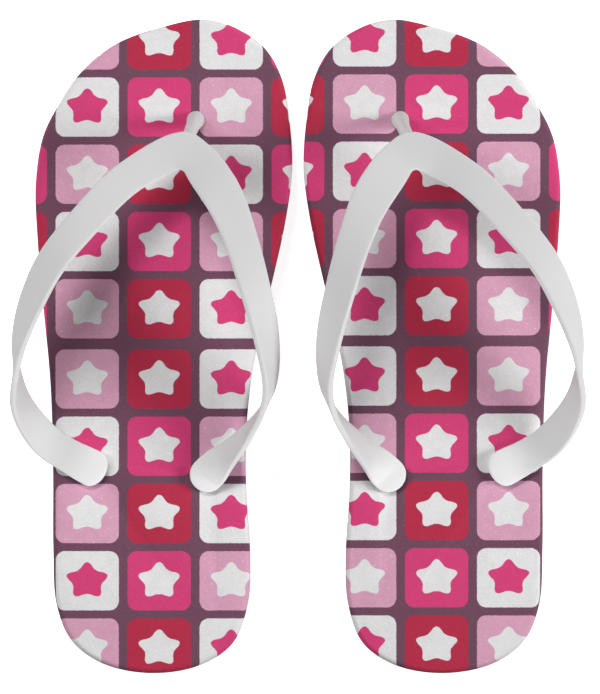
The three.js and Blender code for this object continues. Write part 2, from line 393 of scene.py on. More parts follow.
# A flat rim is left round each recess, where the grooves stop.
rim_radius = RECESS_RADIUS + GROOVE_WIDTH
rim_profile = [(rim_radius, TOOL_FOOT), (rim_radius, TREAD_TOOL_TOP)]
grooves = carved(grooves, joined([turned(hole, rim_profile) for hole in holes]))
recess_profile = [
    (RECESS_RADIUS + 2 * RECESS_CHAMFER, -RECESS_CHAMFER), (RECESS_RADIUS, RECESS_CHAMFER),
    (RECESS_RADIUS, RECESS_DEPTH), (STEM_HOLE_RADIUS, RECESS_DEPTH), (STEM_HOLE_RADIUS, TREAD_TOOL_TOP),
]
tread_rings = []
for step in range(OUTSOLE_EDGE_STEPS + 1):
    turn = step * math.pi / (2 * OUTSOLE_EDGE_STEPS)
    inset = OUTSOLE_EDGE * (1 - math.sin(turn))
    tread_rings.append(sole_ring(inset, OUTSOLE_EDGE * (1 - math.cos(turn))))
tread_rings.append(sole_ring(0, OUTSOLE_THICKNESS - OUTSOLE_TOP_EDGE))
tread_rings.append(sole_ring(OUTSOLE_TOP_EDGE, OUTSOLE_THICKNESS))
tread = carved(skin(tread_rings), grooves)
tread = carved(tread, joined([turned(hole, recess_profile) for hole in holes]))
add_flex_rows(tread)


def maths(tree, operation, *values):
    """Adds a Math node. Each value is a number or another node's socket."""
    node = tree.nodes.new("ShaderNodeMath")
    node.operation = operation
    for socket, value in zip(node.inputs, values):
        if isinstance(value, bpy.types.NodeSocket):
            tree.links.new(value, socket)
        else:
            socket.default_value = value
    return node.outputs[0]


def rest_place(tree):
    """Where each point lies on the unbent shoe, in metres."""
    node = tree.nodes.new("ShaderNodeAttribute")
    node.attribute_name = "rest"
    return node.outputs["Vector"]


def noise(tree, where, scale, detail=2.0):
    """Noise value from 0 to 1 with about that many waves a metre."""
    node = tree.nodes.new("ShaderNodeTexNoise")
    tree.links.new(where, node.inputs["Vector"])
    node.inputs["Scale"].default_value = scale
    node.inputs["Detail"].default_value = detail
    return node.outputs["Fac"]


def shaded(tree, colour, tone):
    """The colour made lighter and darker by a tone near 1."""
    node = tree.nodes.new("ShaderNodeMix")
    node.data_type = "RGBA"
    node.blend_type = "MULTIPLY"
    node.inputs["Factor"].default_value = 1.0
    if isinstance(colour, bpy.types.NodeSocket):
        tree.links.new(colour, node.inputs["A"])
    else:
        node.inputs["A"].default_value = colour
    tree.links.new(tone, node.inputs["B"])
    return node.outputs["Result"]


def raised(tree, shader, height, depth):
    """Fine relief from a height, with its depth in metres."""
    node = tree.nodes.new("ShaderNodeBump")
    node.inputs["Distance"].default_value = depth
    tree.links.new(height, node.inputs["Height"])
    tree.links.new(node.outputs["Normal"], shader.inputs["Normal"])


CLOUDS_PER_METRE = 60.0


def mould_grain_group():
    """Fine grain that a mould leaves, with faint cloudiness of the colour and of the gloss."""
    group = bpy.data.node_groups.new("mould_grain", "ShaderNodeTree")
    for name, kind, value in (
        ("Place", "NodeSocketVector", None), ("Grains per metre", "NodeSocketFloat", 2500.0),
        ("Cloud depth", "NodeSocketFloat", 0.06), ("Roughness", "NodeSocketFloat", 0.5),
        ("Roughness swing", "NodeSocketFloat", 0.1),
    ):
        socket = group.interface.new_socket(name=name, in_out="INPUT", socket_type=kind)
        if value is not None:
            socket.default_value = value
    for name in ("Tone", "Height", "Roughness"):
        group.interface.new_socket(name=name, in_out="OUTPUT", socket_type="NodeSocketFloat")
    given = group.nodes.new("NodeGroupInput").outputs
    wanted = group.nodes.new("NodeGroupOutput").inputs
    cloud = noise(group, given["Place"], CLOUDS_PER_METRE, 3.0)
    grain = group.nodes.new("ShaderNodeTexNoise")
    grain.inputs["Detail"].default_value = 3.0
    group.links.new(given["Place"], grain.inputs["Vector"])
    group.links.new(given["Grains per metre"], grain.inputs["Scale"])
    centred = maths(group, "SUBTRACT", cloud, 0.5)
    fine = maths(group, "SUBTRACT", grain.outputs["Fac"], 0.5)
    both = maths(group, "MULTIPLY_ADD", fine, 0.5, centred)
    group.links.new(maths(group, "MULTIPLY_ADD", both, given["Cloud depth"], 1.0), wanted["Tone"])
    group.links.new(grain.outputs["Fac"], wanted["Height"])
    gloss = maths(group, "MULTIPLY_ADD", centred, given["Roughness swing"], given["Roughness"])
    group.links.new(gloss, wanted["Roughness"])
    return group


mould_grain = mould_grain_group()


def add_grain(tree, shader, colour, grains, cloud, roughness, swing, depth):
    """Gives a shader its colour, gloss and relief from the mould grain. The depth is in metres."""
    node = tree.nodes.new("ShaderNodeGroup")
    node.node_tree = mould_grain
    tree.links.new(rest_place(tree), node.inputs["Place"])
    node.inputs["Grains per metre"].default_value = grains
    node.inputs["Cloud depth"].default_value = cloud
    node.inputs["Roughness"].default_value = roughness
    node.inputs["Roughness swing"].default_value = swing
    tree.links.new(shaded(tree, colour, node.outputs["Tone"]), shader.inputs["Base Color"])
    tree.links.new(node.outputs["Roughness"], shader.inputs["Roughness"])
    raised(tree, shader, node.outputs["Height"], depth)


tread_rubber, rubber_tree, rubber_shader = new_material("tread_rubber")
rubber_shader.inputs["Specular IOR Level"].default_value = 0.35
add_grain(
    rubber_tree, rubber_shader, RUBBER_COLOUR,
    grains=1400.0, cloud=0.35, roughness=0.78, swing=0.25, depth=0.00022,
)

for side, piece in make_pair("tread_sole", tread, tread_rubber).items():
    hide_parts(f"{side}_outsole_rear", f"{side}_outsole_fore")
    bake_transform(piece)


# ---------------------------------------------------------------- Foam midsole
# The thick springy layer, a wedge of closed-cell foam cut from sheet. Its ground side shows fine
# open pores. It is glued to the rubber below and to the printed cover above.

COVER_THICKNESS = 2.5
GLUE_LINE = 0.06
FOAM_EDGE = 0.45
FOAM_WAIST = 0.35
FOAM_TOOL_TOP = 40
FOAM_COLOUR = (0.158, 0.066, 0.108, 1)
PORES_PER_METRE = 1500.0
PORE_DEPTH = 0.0003
FOAM_CLOUDS_PER_METRE = 90.0

# Swing and lowest value of the painted shade in the pores, of the tone over the clouds and of the
# roughness.
PORE_SHADE = (0.35, 0.84)
FOAM_CLOUD_TONE = (0.2, 0.9)
FOAM_ROUGHNESS = (0.15, 0.78)

# Part of the foam's height, the inset of its side there, and a step up or down in millimetres.
FOAM_SIDE = [
    (0, FOAM_EDGE, 0), (0, FOAM_EDGE * 0.3, FOAM_EDGE * 0.35), (0, 0.02, FOAM_EDGE),
    (0.25, 0.6 * FOAM_WAIST, 0), (0.5, FOAM_WAIST, 0), (0.75, 0.6 * FOAM_WAIST, 0),
    (1, 0.02, -FOAM_EDGE), (1, FOAM_EDGE * 0.3, -FOAM_EDGE * 0.35), (1, FOAM_EDGE, 0),
]


def foam_height(part, step):
    """Height in the foam layer as a function of Y."""
    low = OUTSOLE_THICKNESS + GLUE_LINE
    return lambda y: low + part * (footbed(y) - COVER_THICKNESS - GLUE_LINE - low) + step


foam = skin([sole_ring(inset, foam_height(part, step)) for part, inset, step in FOAM_SIDE])
stem_profile = [(STEM_HOLE_RADIUS, TOOL_FOOT), (STEM_HOLE_RADIUS, FOAM_TOOL_TOP)]
foam = carved(foam, joined([turned(hole, stem_profile) for hole in holes]))
add_flex_rows(foam)

foam_finish, foam_tree, foam_shader = new_material("foam_core")
foam_shader.inputs["Specular IOR Level"].default_value = 0.25
pores = foam_tree.nodes.new("ShaderNodeTexVoronoi")
pores.inputs["Scale"].default_value = PORES_PER_METRE
foam_tree.links.new(rest_place(foam_tree), pores.inputs["Vector"])
pore_edge = maths(foam_tree, "SMOOTH_MIN", pores.outputs["Distance"], 0.5, 0.2)
foam_cloud = noise(foam_tree, rest_place(foam_tree), FOAM_CLOUDS_PER_METRE, 3.0)
# The pores are painted darker, painted shade inside them, on top of their relief.
pore_shade = maths(foam_tree, "MULTIPLY_ADD", pore_edge, *PORE_SHADE)
cloud_tone = maths(foam_tree, "MULTIPLY_ADD", foam_cloud, *FOAM_CLOUD_TONE)
foam_tone_and_pore_shade = maths(foam_tree, "MULTIPLY", pore_shade, cloud_tone)
foam_tree.links.new(shaded(foam_tree, FOAM_COLOUR, foam_tone_and_pore_shade), foam_shader.inputs["Base Color"])
foam_rough = maths(foam_tree, "MULTIPLY_ADD", foam_cloud, *FOAM_ROUGHNESS)
foam_tree.links.new(foam_rough, foam_shader.inputs["Roughness"])
raised(foam_tree, foam_shader, pore_edge, PORE_DEPTH)

for side, piece in make_pair("foam_core", foam, foam_finish).items():
    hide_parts(f"{side}_midsole_rear", f"{side}_midsole_fore")
    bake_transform(piece)


# ---------------------------------------------------------------- Printed cover
# The foot lies on a thin sheet of finer foam with a brushed printed face: coloured cells in rows,
# each with a soft star, on a plum ground. Its top edge is rounded and its holes are pressed in.

COVER_EDGE = 2.0
COVER_EDGE_STEPS = 6
COVER_UNDER_EDGE = 0.2
HOLE_DIMPLE = 0.45
HOLE_RIM_STEPS = 4
HOLE_TOOL_FLARE = 0.4
HOLE_TOOL_RISE = 0.2
FLAT_WITHIN = 0.01

# The print, in millimetres on the flat sheet. The rows run both ways from a line across the sheet,
# with a little extra ground there. A cell is given by its half width and half length.
CELL_PITCH = (27.53, 25.71)
CELL_HALF = (12.1, 11.32)
CELL_CORNER = 3.6
FIRST_COLUMN = -80.55
TILE_LINE = 0.9
TILE_EXTRA = 0.57
STAR_TIP = 7.1
STAR_VALLEY = 4.97
STAR_STRETCH = 1.15
STAR_SHARPNESS = 0.3124
PRINT_EDGE = 0.13
INK_CREEP = 0.18
INK_CREEPS_PER_METRE = 1100.0
RIGHT_PRINT_SHIFT = 1.15
PLUM = (0.150, 0.060, 0.100, 1)
CELL_COLOURS = [
    (0.635, 0.325, 0.455, 1), (0.440, 0.023, 0.062, 1), (0.725, 0.715, 0.722, 1), (0.620, 0.047, 0.175, 1),
]
WHITE_CELL = 2
ROW_COLOUR_SHIFT = 2.0
STAR_WHITE = (0.725, 0.715, 0.722, 1)
STAR_MAGENTA = (0.620, 0.047, 0.175, 1)
# Pale specks painted into the print stand for glints of light on its fibres.
GLINT_WHITE = (0.95, 0.93, 0.94, 1)
GLINTS_PER_METRE = 1500.0
GLINT_RANGE = (0.62, 0.82)
FIBRES_PER_METRE = 2600.0
PATCHES_PER_METRE = 240.0
NAP_DEPTH = 0.00012

# Swing and lowest value of the tone over the fibres, of the tone over the patches and of the roughness.
FIBRE_TONE = (0.34, 0.83)
PATCH_TONE = (0.16, 0.92)
PRINT_ROUGHNESS = (0.2, 0.72)

cover_rings = [sole_ring(COVER_UNDER_EDGE, lambda y: footbed(y) - COVER_THICKNESS)]
cover_rings.append(sole_ring(0, lambda y: footbed(y) - COVER_THICKNESS + COVER_UNDER_EDGE))
for step in range(COVER_EDGE_STEPS + 1):
    turn = step * math.pi / 2 / COVER_EDGE_STEPS
    inset = COVER_EDGE * (1 - math.cos(turn))
    drop = COVER_EDGE * (1 - math.sin(turn))
    cover_rings.append(sole_ring(inset, lambda y, drop=drop: footbed(y) - drop))


def dimple_profile(hole):
    """Hole with a rolled-in rim at the footbed."""
    top = float(footbed(hole[1]))
    rim = [(STEM_HOLE_RADIUS, TOOL_FOOT), (STEM_HOLE_RADIUS, top - HOLE_DIMPLE)]
    for step in range(1, HOLE_RIM_STEPS + 1):
        turn = step * math.pi / (2 * HOLE_RIM_STEPS)
        rise = HOLE_DIMPLE * math.sin(turn)
        rim.append((STEM_HOLE_RADIUS + HOLE_DIMPLE * (1 - math.cos(turn)), top - HOLE_DIMPLE + rise))
    rim.append((STEM_HOLE_RADIUS + HOLE_DIMPLE + HOLE_TOOL_FLARE, top + HOLE_TOOL_RISE))
    return rim


cover = carved(skin(cover_rings), joined([turned(hole, dimple_profile(hole)) for hole in holes]))
add_flex_rows(cover)


def print_spot(spot):
    """Where a point of the cover lies on the printed sheet, laid flat past the rounded edge."""
    plan = np.array([spot.x, spot.y])
    drop = footbed(spot.y) - spot.z
    near_hole = min(np.linalg.norm(plan - hole) for hole in holes) < 2 * STEM_HOLE_RADIUS
    if drop < FLAT_WITHIN or near_hole:
        return Vector((spot.x, spot.y, spot.z)) * MM
    i = int(np.argmin(((outline - plan) ** 2).sum(1)))
    if drop < COVER_EDGE:
        run = COVER_EDGE * math.acos(1 - drop / COVER_EDGE)
    else:
        run = COVER_EDGE * math.pi / 2 + drop - COVER_EDGE
    edge = plan + outline_inward[i] * (COVER_EDGE - np.dot(plan - outline[i], outline_inward[i]) - run)
    return Vector((edge[0], edge[1], spot.z)) * MM


cover_rest = cover.verts.layers.float_vector.new("rest")
for vert in cover.verts:
    vert[cover_rest] = print_spot(vert.co)

printed, print_tree, print_shader = new_material("printed_cover")


def split_vector(tree, vector):
    """The X and Y sockets of a vector, scaled to millimetres."""
    node = tree.nodes.new("ShaderNodeSeparateXYZ")
    tree.links.new(vector, node.inputs[0])
    x = maths(tree, "MULTIPLY", node.outputs["X"], 1 / MM)
    y = maths(tree, "MULTIPLY", node.outputs["Y"], 1 / MM)
    return x, y


def length_of(tree, x, y):
    """Length of a flat vector."""
    return maths(tree, "SQRT", maths(tree, "MULTIPLY_ADD", x, x, maths(tree, "MULTIPLY", y, y)))


def inside(tree, distance):
    """1 inside a printed shape and 0 outside, with the slight bleed of printing ink between."""
    node = tree.nodes.new("ShaderNodeMapRange")
    tree.links.new(distance, node.inputs["Value"])
    node.inputs["From Min"].default_value = PRINT_EDGE
    node.inputs["From Max"].default_value = -PRINT_EDGE
    return node.outputs["Result"]


def mixed(tree, factor, under, over):
    """One colour over another where the factor is 1."""
    node = tree.nodes.new("ShaderNodeMix")
    node.data_type = "RGBA"
    tree.links.new(factor, node.inputs["Factor"])
    for name, colour in (("A", under), ("B", over)):
        if isinstance(colour, bpy.types.NodeSocket):
            tree.links.new(colour, node.inputs[name])
        else:
            node.inputs[name].default_value = colour
    return node.outputs["Result"]


sheet_place = rest_place(print_tree)
sheet_x, sheet_y = split_vector(print_tree, sheet_place)

# Ink wanders a little, which keeps the edges of the printed shapes from being knife sharp.
ink_noise = noise(print_tree, sheet_place, INK_CREEPS_PER_METRE)
ink_creep = maths(print_tree, "MULTIPLY_ADD", ink_noise, 2 * INK_CREEP, -INK_CREEP)

# Which cell a point lies in, and where in that cell.
column_at = maths(print_tree, "DIVIDE", maths(print_tree, "SUBTRACT", sheet_x, FIRST_COLUMN), CELL_PITCH[0])
column = maths(print_tree, "ROUND", column_at)
cell_x = maths(print_tree, "MULTIPLY", maths(print_tree, "SUBTRACT", column_at, column), CELL_PITCH[0])
from_line = maths(print_tree, "SUBTRACT", sheet_y, TILE_LINE)
row_side = maths(print_tree, "SIGN", from_line)
from_tile = maths(print_tree, "SUBTRACT", maths(print_tree, "ABSOLUTE", from_line), TILE_EXTRA)
row_at = maths(print_tree, "DIVIDE", from_tile, CELL_PITCH[1])
row = maths(print_tree, "MAXIMUM", maths(print_tree, "FLOOR", row_at), 0.0)
row_middle = maths(print_tree, "MULTIPLY_ADD", row, CELL_PITCH[1], CELL_PITCH[1] / 2)
cell_y = maths(print_tree, "MULTIPLY", maths(print_tree, "SUBTRACT", from_tile, row_middle), row_side)

# Distance outside the rounded cell.
corner = []
for offset, half in ((cell_x, CELL_HALF[0]), (cell_y, CELL_HALF[1])):
    past = maths(print_tree, "SUBTRACT", maths(print_tree, "ABSOLUTE", offset), half - CELL_CORNER)
    corner.append(maths(print_tree, "MAXIMUM", past, 0.0))
cell_distance = maths(print_tree, "SUBTRACT", length_of(print_tree, *corner), CELL_CORNER)
cell_mask = inside(print_tree, maths(print_tree, "ADD", cell_distance, ink_creep))

# Distance outside the star, whose radius is a bell round each of its five tips.
star_x = maths(print_tree, "DIVIDE", cell_x, STAR_STRETCH)
star_turn = maths(print_tree, "PINGPONG", maths(print_tree, "ARCTAN2", star_x, cell_y), math.pi / 5)
from_tip = maths(print_tree, "DIVIDE", star_turn, STAR_SHARPNESS)
from_tip_squared = maths(print_tree, "MULTIPLY", from_tip, from_tip)
bell = maths(print_tree, "EXPONENT", maths(print_tree, "MULTIPLY", from_tip_squared, -1.0))
star_radius = maths(print_tree, "MULTIPLY_ADD", bell, STAR_TIP - STAR_VALLEY, STAR_VALLEY)
star_distance = maths(print_tree, "SUBTRACT", length_of(print_tree, star_x, cell_y), star_radius)
star_mask = inside(print_tree, maths(print_tree, "ADD", star_distance, ink_creep))

# Every second row starts two colours later. The white cell has a magenta star.
odd_row = maths(print_tree, "MODULO", row, 2.0)
shifted_column = maths(print_tree, "MULTIPLY_ADD", odd_row, ROW_COLOUR_SHIFT, column)
colour_step = maths(print_tree, "FLOORED_MODULO", shifted_column, float(len(CELL_COLOURS)))
cell_colour = CELL_COLOURS[0]
star_colour = STAR_WHITE
for number, colour in enumerate(CELL_COLOURS):
    chosen = maths(print_tree, "COMPARE", colour_step, float(number), 0.5)
    cell_colour = mixed(print_tree, chosen, cell_colour, colour)
    if number == WHITE_CELL:
        star_colour = mixed(print_tree, chosen, star_colour, STAR_MAGENTA)
print_colour = mixed(print_tree, cell_mask, PLUM, mixed(print_tree, star_mask, cell_colour, star_colour))

# Brushed fibres break the print into fine mottling. Pale specks are painted into the colour as glints of
# light; they show where the ink is pale, so they follow the ink's green, which is low in the strong inks.
painted_glints = print_tree.nodes.new("ShaderNodeMapRange")
glint_noise = noise(print_tree, sheet_place, GLINTS_PER_METRE, 1.0)
print_tree.links.new(glint_noise, painted_glints.inputs["Value"])
painted_glints.inputs["From Min"].default_value = GLINT_RANGE[0]
painted_glints.inputs["From Max"].default_value = GLINT_RANGE[1]
ink = print_tree.nodes.new("ShaderNodeSeparateColor")
print_tree.links.new(print_colour, ink.inputs["Color"])
glints_shown = maths(print_tree, "MULTIPLY", painted_glints.outputs["Result"], ink.outputs["Green"])
print_colour = mixed(print_tree, glints_shown, print_colour, GLINT_WHITE)
fibres = noise(print_tree, sheet_place, FIBRES_PER_METRE, 4.0)
patches = noise(print_tree, sheet_place, PATCHES_PER_METRE, 3.0)
fibre_tone = maths(print_tree, "MULTIPLY_ADD", fibres, *FIBRE_TONE)
patch_tone = maths(print_tree, "MULTIPLY_ADD", patches, *PATCH_TONE)
mottle = maths(print_tree, "MULTIPLY", fibre_tone, patch_tone)
print_tree.links.new(shaded(print_tree, print_colour, mottle), print_shader.inputs["Base Color"])
print_rough = maths(print_tree, "MULTIPLY_ADD", patches, *PRINT_ROUGHNESS)
print_tree.links.new(print_rough, print_shader.inputs["Roughness"])
print_shader.inputs["Specular IOR Level"].default_value = 0.2
print_shader.inputs["Sheen Weight"].default_value = 0.06
print_shader.inputs["Sheen Roughness"].default_value = 0.5
raised(print_tree, print_shader, fibres, NAP_DEPTH)

for side, piece in make_pair("footbed_cover", cover, printed).items():
    if side == "right":
        for spot in piece.data.attributes["rest"].data:
            spot.vector[1] -= RIGHT_PRINT_SHIFT * MM
    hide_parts(f"{side}_cover_rear", f"{side}_cover_fore")
    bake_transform(piece)


# ---------------------------------------------------------------- Strap band
# A soft white plastic band, moulded in one piece. It runs from a rounded tongue on the outer side
# up over the instep to the V at the toe post and back down to the inner tongue. It twists half
# a turn on the way, so both tongues lie flat on the footbed.

FIT_GAP = 0.3
BAND_WIDTH = 12.8
BAND_THICKNESS = 2.4
BAND_EDGE = 0.75
BAND_EDGE_STEPS = 4
BAND_FACE_MARKS = (-0.6, -0.2, 0.2, 0.6)
BAND_SMOOTH_BELOW = 50
STRAP_RISE = 34.0
APEX = (80.3, 58.9)
APEX_RISE = 58
BAND_SAMPLES = 330
WAY_REACH = BAND_SAMPLES // 30
EDGE_SMOOTHING = 6
NOTCH_CUT = 2.3
NOSE_STEPS = 15
FAN_STEPS = 30
BAND_STRIDE = 3
TONGUE_CROWN = 0.55
TONGUE_START = 0.89
TONGUE_END_TURNS = (12, 24, 36, 47, 57, 66, 74, 81, 86)
TONGUE_TIP_SQUEEZE = 0.06
OUTER_TONGUE_EXTRA = 1.3
INNER_TONGUE_EXTRA = 0.6
OUTER_TONGUE_LENGTH = 5.2
INNER_TONGUE_LENGTH = 6.4
V_SMOOTHING = 30
V_BLEND_SECTIONS = 12
LEVEL_SPREAD = 5.6
STRAP_COLOUR = (0.570, 0.570, 0.570, 1)
# The tongue colour is a painted highlight: the strap's white made lighter where the flat tongues catch the
# light.
TONGUE_HIGHLIGHT_COLOUR = (0.71, 0.71, 0.71, 1)

# The band is wider over the instep: part of the arm, spread of the swelling, and millimetres at
# its front and rear edges.
OUTER_SWELL = (0.08, 0.07, 1.3, 0.0)
INNER_SWELL = (0.20, 0.10, 1.7, 1.2)

# Middle line of each arm from the V to its hole: percent along, percent across, percent of the
# strap's rise, and the roll of the band in degrees.
OUTER_ARM = [
    (78.6, 50, 61, 1), (75.3, 35.3, 74, 6), (68.7, 18.9, 90, 16), (62.4, 6.2, 97, 29),
    (56.4, -1.2, 94, 46), (50.9, -5.8, 82, 68), (46.2, -7.2, 63, 92), (41, -5.3, 38, 128),
    (35.8, 3.7, 14, 163), (33.3, 12.8, 0, 178),
]
INNER_ARM = [
    (78.8, 62.5, 61, 1), (76.6, 66.8, 72, 4), (70.9, 75.4, 89, 10), (64.3, 81.6, 98, 19),
    (58.1, 86, 100, 31), (51.8, 89.8, 91, 45), (44.8, 91.6, 68, 71), (40.8, 89.2, 48, 90),
    (37.2, 83.5, 27, 107), (33.2, 74, 7, 136),
]


def rolls_along(degrees, count):
    """Smooth run of roll angles through the given ones, in radians, never past half a turn."""
    held = [degrees[0], *degrees, degrees[-1]]
    found = []
    for i in range(count + 1):
        at = (len(degrees) - 1) * i / count
        k = min(int(at), len(degrees) - 2)
        t = at - k
        a, b, c, d = held[k:k + 4]
        leave, arrive = (c - a) / 2, (d - b) / 2
        roll = b + leave * t + (3 * c - 3 * b - 2 * leave - arrive) * t ** 2
        found.append(roll + (2 * b - 2 * c + leave + arrive) * t ** 3)
    return np.radians(np.minimum(found, 180))


def arm_line(table, hole, hand):
    """Middle, way ahead, direction from front to rear edge, and upward normal all along an arm."""
    stations = [(*APEX, APEX_RISE, 0), *table, (*hole, 0, 180)]
    spots = [(*place(station[:2]), station[2]) for station in stations]
    middle, _ = smooth_curve(spots, False, BAND_SAMPLES)
    roll = rolls_along([station[3] for station in stations], BAND_SAMPLES)
    lowest = FIT_GAP + BAND_THICKNESS / 2 + BAND_WIDTH / 2 * np.abs(np.sin(roll))
    middle[:, 2] = footbed(middle[:, 1]) + np.maximum(STRAP_RISE * middle[:, 2] / 100, lowest)
    order = np.arange(BAND_SAMPLES + 1)
    way = middle[np.minimum(order + WAY_REACH, BAND_SAMPLES)] - middle[np.maximum(order - WAY_REACH, 0)]
    level = np.clip(np.minimum(order, BAND_SAMPLES - order) / WAY_REACH, 0, 1)
    way[:, 2] *= level
    way /= np.linalg.norm(way, axis=1)[:, None]
    side = np.stack([-way[:, 1], way[:, 0], 0 * way[:, 0]], 1) * hand
    side /= np.linalg.norm(side, axis=1)[:, None]
    lift = np.cross(way, side) * hand
    across = side * np.cos(roll)[:, None] + lift * np.sin(roll)[:, None]
    return middle, way, across, np.cross(way, across) * hand


def soften(values, passes):
    """Evens out a run of values and keeps its ends."""
    for _ in range(passes):
        values[1:-1] = (values[:-2] + 2 * values[1:-1] + values[2:]) / 4
    return values


def level_out(edge):
    """Evens out the heights of an edge by distance along it, and keeps its ends."""
    run = np.concatenate([[0], np.cumsum(np.linalg.norm(np.diff(edge[:, :2], axis=0), axis=1))])
    height = edge[:, 2].copy()
    mirrored_run = np.concatenate([-run[:0:-1], run, 2 * run[-1] - run[-2::-1]])
    mirrored = np.concatenate([2 * height[0] - height[:0:-1], height, 2 * height[-1] - height[-2::-1]])
    near = np.exp(-((run[:, None] - mirrored_run) / LEVEL_SPREAD) ** 2) * np.gradient(mirrored_run)
    edge[:, 2] = near @ mirrored / near.sum(1)


def evenly(line, count):
    """Points evenly spaced along a line of points."""
    run = np.concatenate([[0], np.cumsum(np.linalg.norm(np.diff(line, axis=0), axis=1))])
    at = np.linspace(0, run[-1], count + 1)
    return np.stack([np.interp(at, run, line[:, k]) for k in range(line.shape[1])], 1)


def band_section(front, rear, normal, crown, squeeze=1.0):
    """Rounded flat bar between a front and a rear edge. The crown swells its upper or lower face."""
    middle, across = (front + rear) / 2, rear - front
    width = np.linalg.norm(across)
    across = across / width
    normal = normal - across * np.dot(normal, across)
    normal = normal / np.linalg.norm(normal)
    half, edge = width / 2, min(BAND_EDGE, width * 0.4)
    deep = BAND_THICKNESS / 2 * squeeze
    round_edge = min(edge, deep)
    marks = []
    for quarter in range(4):
        a_sign, b_sign = ((1, 1), (-1, 1), (-1, -1), (1, -1))[quarter]
        for step in range(BAND_EDGE_STEPS + 1):
            turn = math.radians(90 * quarter + 90 / BAND_EDGE_STEPS * step)
            a = a_sign * (half - edge) + edge * math.cos(turn)
            b = b_sign * (deep - round_edge) + round_edge * math.sin(turn)
            marks.append((a, b))
        if quarter in (0, 2):
            marks.extend((-a_sign * part * (half - edge), b_sign * deep) for part in BAND_FACE_MARKS)
    ring = []
    for a, b in marks:
        swell = crown * squeeze * (1 - (a / half) ** 2) if b * crown > 0 else 0.0
        ring.append(middle + across * a + normal * (b + swell))
    return ring


def band_arm(table, hole, hand, extra, swelling):
    """Middle, way ahead, front edge, rear edge, normal and tongue part all along an arm."""
    middle, way, across, normal = arm_line(table, hole, hand)
    part = np.arange(BAND_SAMPLES + 1) / BAND_SAMPLES
    tongue = np.clip((part - TONGUE_START) / (1 - TONGUE_START), 0, 1)
    tongue = tongue * tongue * (3 - 2 * tongue)
    half = (BAND_WIDTH + extra * tongue) / 2
    centre, spread, front_more, rear_more = swelling
    swell = np.exp(-((part - centre) / spread) ** 2)
    front = middle - across * (half + front_more * swell)[:, None]
    rear = middle + across * (half + rear_more * swell)[:, None]
    return middle, way, soften(front, EDGE_SMOOTHING), soften(rear, EDGE_SMOOTHING), normal, tongue


def tongue_end(middle, way, front, rear, normal, length):
    """Sections that close a tongue with a half round of that length."""
    across = rear[-1] - front[-1]
    half = np.linalg.norm(across) / 2
    across = across / np.linalg.norm(across)
    rings = []
    for degrees in TONGUE_END_TURNS:
        turn = math.radians(degrees)
        centre = middle[-1] + way[-1] * length * math.sin(turn)
        past = max(0.0, length * math.sin(turn) - (length - BAND_EDGE)) / BAND_EDGE
        reach = across * half * math.cos(turn)
        swell = -TONGUE_CROWN * math.cos(turn) ** 2
        squeeze = math.sqrt(max(TONGUE_TIP_SQUEEZE, 1 - past ** 2))
        rings.append(band_section(centre - reach, centre + reach, normal[-1], swell, squeeze))
    return rings


outer = band_arm(OUTER_ARM, OUTER_HOLE, 1, OUTER_TONGUE_EXTRA, OUTER_SWELL)
inner = band_arm(INNER_ARM, INNER_HOLE, -1, INNER_TONGUE_EXTRA, INNER_SWELL)
outer_front, outer_rear, inner_front, inner_rear = outer[2], outer[3], inner[2], inner[3]

# The rear edges of both arms meet in the notch of the V, which is rounded.
near_v = BAND_SAMPLES // 4
gaps = np.linalg.norm(outer_rear[:near_v, None, :2] - inner_rear[None, :near_v, :2], axis=2)
outer_meet, inner_meet = np.unravel_index(np.argmin(gaps), gaps.shape)
notch = (outer_rear[outer_meet] + inner_rear[inner_meet]) / 2
apex = np.array([*place(APEX), outer[0][0][2]])


def first_clear(rear, meet):
    """Place in an arm's rear edge, past where the arms meet, that lies clear of the notch."""
    return meet + int(np.argmax(np.linalg.norm(rear[meet:] - notch, axis=1) > NOTCH_CUT))


def turn_from_apex(spot):
    """Direction of a point as seen from the middle of the V, in radians."""
    return math.atan2(spot[1] - apex[1], spot[0] - apex[0])


outer_cut = first_clear(outer_rear, outer_meet)
inner_cut = first_clear(inner_rear, inner_meet)
nose_turns = np.linspace(turn_from_apex(outer_front[0]), turn_from_apex(inner_front[0]), NOSE_STEPS + 1)
nose = [apex + BAND_WIDTH / 2 * np.array([math.cos(turn), math.sin(turn), 0]) for turn in nose_turns[1:-1]]
fan_front = evenly(np.vstack([outer_front[outer_cut::-1], nose, inner_front[:inner_cut + 1]]), FAN_STEPS)
fan_part = np.linspace(0, 1, FAN_STEPS + 1)[:, None]
fan_rear = outer_rear[outer_cut] * (1 - fan_part) ** 2 + inner_rear[inner_cut] * fan_part ** 2
fan_rear = fan_rear + notch * 2 * fan_part * (1 - fan_part)
fan_normal = outer[4][outer_cut] * (1 - fan_part) + inner[4][inner_cut] * fan_part

# One run of sections from the outer tongue round the V to the inner tongue.
outer_run = np.arange(BAND_SAMPLES, outer_cut, -BAND_STRIDE)
inner_run = np.arange(BAND_SAMPLES, inner_cut, -BAND_STRIDE)[::-1]
fronts = np.vstack([outer_front[outer_run], fan_front, inner_front[inner_run]])
rears = np.vstack([outer_rear[outer_run], fan_rear, inner_rear[inner_run]])
normals = np.vstack([outer[4][outer_run], fan_normal, inner[4][inner_run]])
tongues = np.concatenate([outer[5][outer_run], np.zeros(FAN_STEPS + 1), inner[5][inner_run]])
for edge in (fronts, rears):
    level_out(edge)
soften(normals, V_SMOOTHING)
v_end = len(outer_run) + FAN_STEPS + 1
v_front = slice(len(outer_run) - V_BLEND_SECTIONS, v_end + V_BLEND_SECTIONS)
soften(fronts[v_front], V_SMOOTHING)
band_rings = [
    band_section(front, rear, normal, -TONGUE_CROWN * tongue)
    for front, rear, normal, tongue in zip(fronts, rears, normals, tongues)
]
outer_end = tongue_end(*outer[:5], OUTER_TONGUE_LENGTH)[::-1]
inner_end = tongue_end(*inner[:5], INNER_TONGUE_LENGTH)
band = skin(outer_end + band_rings + inner_end)
